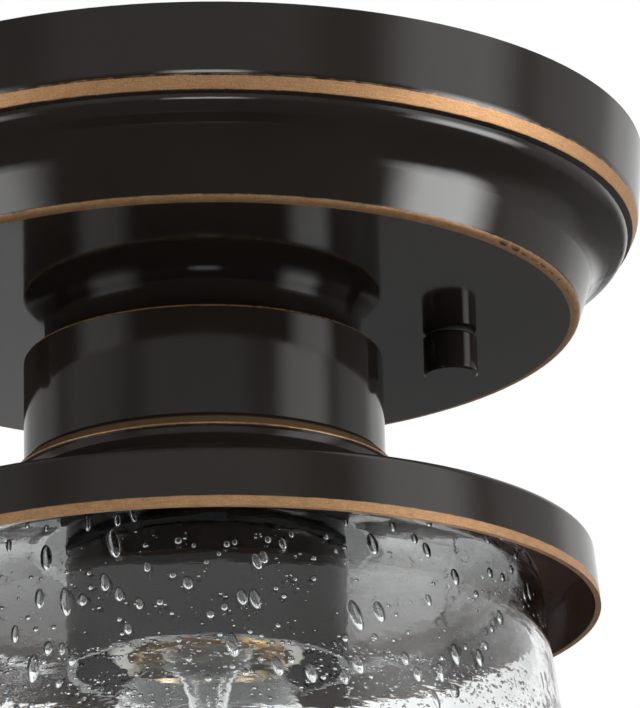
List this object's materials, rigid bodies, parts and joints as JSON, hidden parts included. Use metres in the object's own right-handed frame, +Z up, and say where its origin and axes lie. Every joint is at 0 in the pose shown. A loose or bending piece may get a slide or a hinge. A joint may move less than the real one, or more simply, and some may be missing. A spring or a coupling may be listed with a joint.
{
  "type": "porch ceiling lantern",
  "caption": "Flush-mounted porch ceiling lantern: stepped round canopy, short neck and rimmed cap over a flared clear seeded glass shade, open below, round a screw-in lamp.",
  "frame": {"origin": "on the ceiling plane, at the centre of the crossbar's top face, on the lantern's axis", "axes": "+Z up along the lantern's axis, into the ceiling; X through the crossbar, its studs and the two cap nuts"},
  "size_m": [0.1588, 0.1588, 0.198],
  "materials": {
    "bar_zinc": "zinc-plated, satin",
    "steel_zinc": "zinc-plated, satin",
    "ground_green": "green-dyed plating",
    "dark_bronze": "gloss black bronze with hand-rubbed copper edges",
    "foam": "closed-cell foam, matte",
    "seal": "matte rubber",
    "clear_glass": "clear, seeded with bubbles",
    "lamp_glass": "clear, thin",
    "porcelain": "cream glaze",
    "brass": "plain, satin",
    "lamp_black": "black vitreous insulator",
    "tungsten": "dark drawn wire"
  },
  "bodies": {
    "lantern": {"mounting_bar": "bar_zinc", "canopy_studs": "steel_zinc", "stud_lock_nuts": "steel_zinc", "ground_screw": "ground_green", "canopy": "dark_bronze", "canopy_gasket": "foam", "nipple": "steel_zinc", "canopy_lock_washer": "steel_zinc", "canopy_nut": "steel_zinc", "neck": "dark_bronze", "neck_base_ring": "dark_bronze", "cap": "dark_bronze", "fitter_tube": "dark_bronze", "fitter_nut": "steel_zinc", "cap_ring_nut": "dark_bronze", "upper_gasket": "seal", "socket_bracket": "steel_zinc", "socket_screws": "steel_zinc", "terminal_screws": "brass", "socket_body": "porcelain", "screw_shell": "brass", "centre_contact": "brass"},
    "left_nut": {"left_cap_nut": "dark_bronze", "left_seal_washer": "seal"},
    "right_nut": {"right_cap_nut": "dark_bronze", "right_seal_washer": "seal"},
    "shade": {"glass_shade": "clear_glass", "lower_gasket": "seal"},
    "collar": {"shade_collar": "dark_bronze"},
    "lamp": {"lamp_contact": "steel_zinc", "lamp_insulator": "lamp_black", "lamp_base": "brass", "lamp_envelope": "lamp_glass", "lamp_stem": "lamp_glass", "lamp_wires": "tungsten", "lamp_filament": "tungsten"}
  },
  "joints": [
    {"name": "left_nut_turn", "type": "hinge", "parent": "lantern", "child": "left_nut", "pos_m": [-0.04445, 0, -0.0341], "axis": [0, 0, -1], "range_deg": [0, 2160]},
    {"name": "right_nut_turn", "type": "hinge", "parent": "lantern", "child": "right_nut", "pos_m": [0.04445, 0, -0.0341], "axis": [0, 0, -1], "range_deg": [0, 2160]},
    {"name": "shade_drop", "type": "slide", "parent": "lantern", "child": "shade", "axis": [0, 0, -1], "range_m": [0, 0.012]},
    {"name": "collar_turn", "type": "hinge", "parent": "shade", "child": "collar", "pos_m": [0, 0, -0.08], "axis": [0, 0, -1], "range_deg": [0, 2880]},
    {"name": "lamp_turn", "type": "hinge", "parent": "lantern", "child": "lamp", "pos_m": [0, 0, -0.08], "axis": [0, 0, -1], "range_deg": [0, 1800]}
  ],
  "couplings": [
    {"joint": "shade_drop", "follows": "collar_turn", "m_per_rad": 0.00023873}
  ]
}
